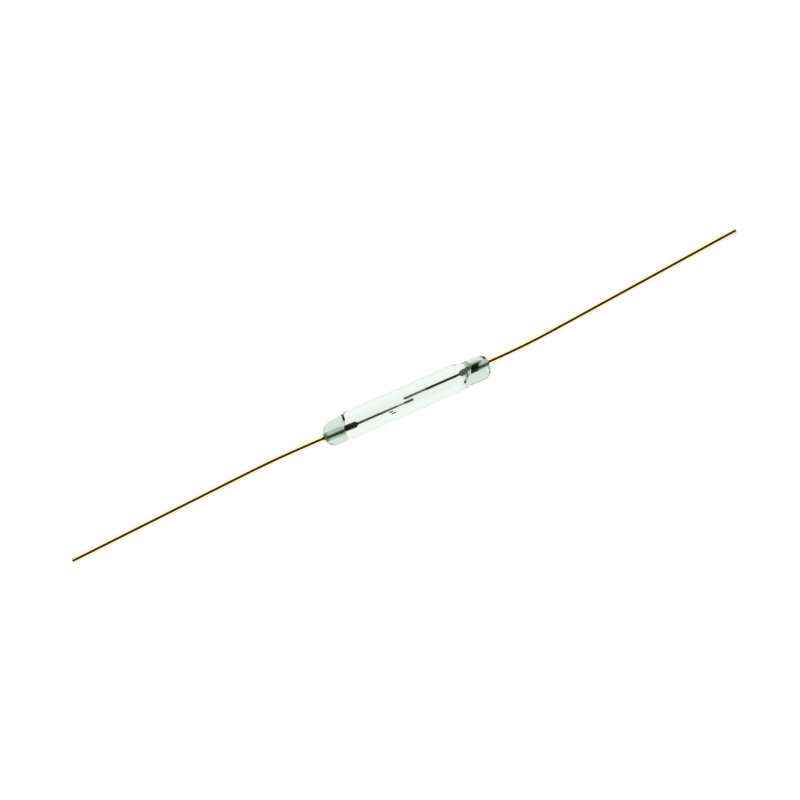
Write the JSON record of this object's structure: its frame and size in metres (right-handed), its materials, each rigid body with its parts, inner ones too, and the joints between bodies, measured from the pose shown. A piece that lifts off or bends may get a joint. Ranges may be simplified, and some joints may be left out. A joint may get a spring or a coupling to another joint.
{
  "type": "glass reed switch",
  "caption": "Slim sealed glass tube with an axial wire lead at each end and overlapping flat reed blades inside that close when a magnet comes near.",
  "frame": {"origin": "centre of the glass, on the tube's axis", "axes": "+X along the tube to the right-hand lead, +Y the way the left blade closes, +Z across the blades' width"},
  "size_m": [0.0574, 0.0034, 0.0022],
  "materials": {
    "sealing_glass": "clear, faintly green fused glass",
    "plated_lead": "thin gold plating on drawn wire",
    "reed_alloy": "rolled nickel-iron with plated contact tips"
  },
  "bodies": {
    "envelope": {"glass_envelope": "sealing_glass", "left_lead": "plated_lead", "right_lead": "plated_lead"},
    "left_blade": {"left_blade": "reed_alloy"},
    "right_blade": {"right_blade": "reed_alloy"}
  },
  "joints": [
    {"name": "left_flex", "type": "hinge", "parent": "envelope", "child": "left_blade", "pos_m": [-0.00412, -0.00016, 0], "axis": [0, 0, 1], "range_deg": [0, 0.86], "stiffness_Nm_per_rad": 0.0002},
    {"name": "right_flex", "type": "hinge", "parent": "envelope", "child": "right_blade", "pos_m": [0.00447, 0.00016, 0], "axis": [0, 0, 1], "range_deg": [0, 0.86], "stiffness_Nm_per_rad": 0.0002}
  ],
  "couplings": [
    {"joint": "right_flex", "follows": "left_flex", "ratio": 1}
  ]
}
